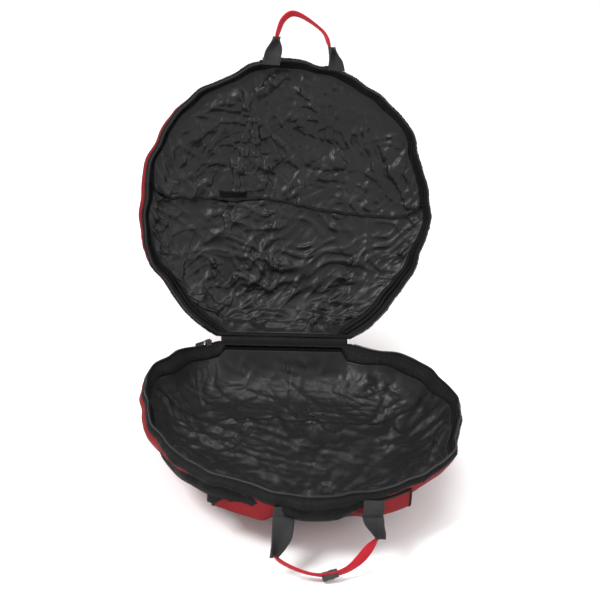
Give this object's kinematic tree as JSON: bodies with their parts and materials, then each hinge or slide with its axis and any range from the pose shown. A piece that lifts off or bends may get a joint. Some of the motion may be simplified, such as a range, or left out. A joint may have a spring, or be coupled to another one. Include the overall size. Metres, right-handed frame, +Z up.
{
  "type": "round clamshell zip bag",
  "caption": "Round padded zip bag lying open: two shallow fabric halves on a fabric hinge, dark lining with slip pockets, zip round the rim, outside pocket and webbing carry handles.",
  "frame": {"origin": "on the resting face under the centre of the base half", "axes": "+Z up, +X to the right, -Y towards the carry handle of the base half, fabric hinge at +Y"},
  "size_m": [0.6058, 0.8945, 0.7333],
  "materials": {
    "red_shell_fabric": "matt woven polyester",
    "red_webbing": "woven webbing",
    "grey_webbing": "woven webbing",
    "black_lining": "smooth nylon with a soft shine",
    "black_tape": "matt woven tape",
    "black_coil": "nylon coil",
    "foam": "closed-cell foam sheet",
    "zinc": "dull grey cast zinc"
  },
  "bodies": {
    "base": {"base_outer_shell": "red_shell_fabric", "base_foam_padding": "foam", "base_inner_lining": "black_lining", "base_zip_tape": "black_tape", "base_zip_coil": "black_coil", "base_inner_pocket_panel": "black_lining", "base_inner_pocket_binding": "black_tape", "base_handle_anchor_left": "grey_webbing", "base_handle_anchor_right": "grey_webbing", "outer_pocket_panel": "red_shell_fabric", "outer_pocket_lining": "black_lining", "outer_pocket_binding": "black_tape", "hinge_panel": "black_tape"},
    "lid": {"lid_outer_shell": "red_shell_fabric", "lid_foam_padding": "foam", "lid_inner_lining": "black_lining", "lid_zip_tape": "black_tape", "lid_zip_coil": "black_coil", "lid_inner_pocket_panel": "black_lining", "lid_inner_pocket_binding": "black_tape", "lid_handle_anchor_left": "grey_webbing", "lid_handle_anchor_right": "grey_webbing", "lid_pocket_touch_fastener": "black_tape"},
    "base_handle": {"base_handle_leg_left": "grey_webbing", "base_handle_leg_right": "grey_webbing", "base_handle_band": "red_webbing", "base_handle_keeper": "grey_webbing"},
    "lid_handle": {"lid_handle_leg_left": "grey_webbing", "lid_handle_leg_right": "grey_webbing", "lid_handle_band": "red_webbing"},
    "slider": {"zip_slider": "zinc"},
    "pull": {"zip_pull": "zinc"}
  },
  "joints": [
    {"name": "lid_hinge", "type": "hinge", "parent": "base", "child": "lid", "pos_m": [0, 0.2705, 0.107], "axis": [1, 0, 0], "range_deg": [-66, 110], "deforming": ["hinge_panel"]},
    {"name": "base_handle_swing", "type": "hinge", "parent": "base", "child": "base_handle", "pos_m": [0, -0.3035, 0.09], "axis": [1, 0, 0], "range_deg": [-54, 3]},
    {"name": "lid_handle_swing", "type": "hinge", "parent": "lid", "child": "lid_handle", "pos_m": [0, 0.48279, 0.64057], "axis": [1, 0, 0], "range_deg": [-100, 2]},
    {"name": "zip_travel", "type": "hinge", "parent": "base", "child": "slider", "pos_m": [0, 0, 0.107], "axis": [0, 0, 1], "range_deg": [0, 294]},
    {"name": "zip_pull_swing", "type": "hinge", "parent": "slider", "child": "pull", "pos_m": [-0.16318, 0.25614, 0.107], "axis": [0, 0, 1], "range_deg": [-150, 0]}
  ]
}
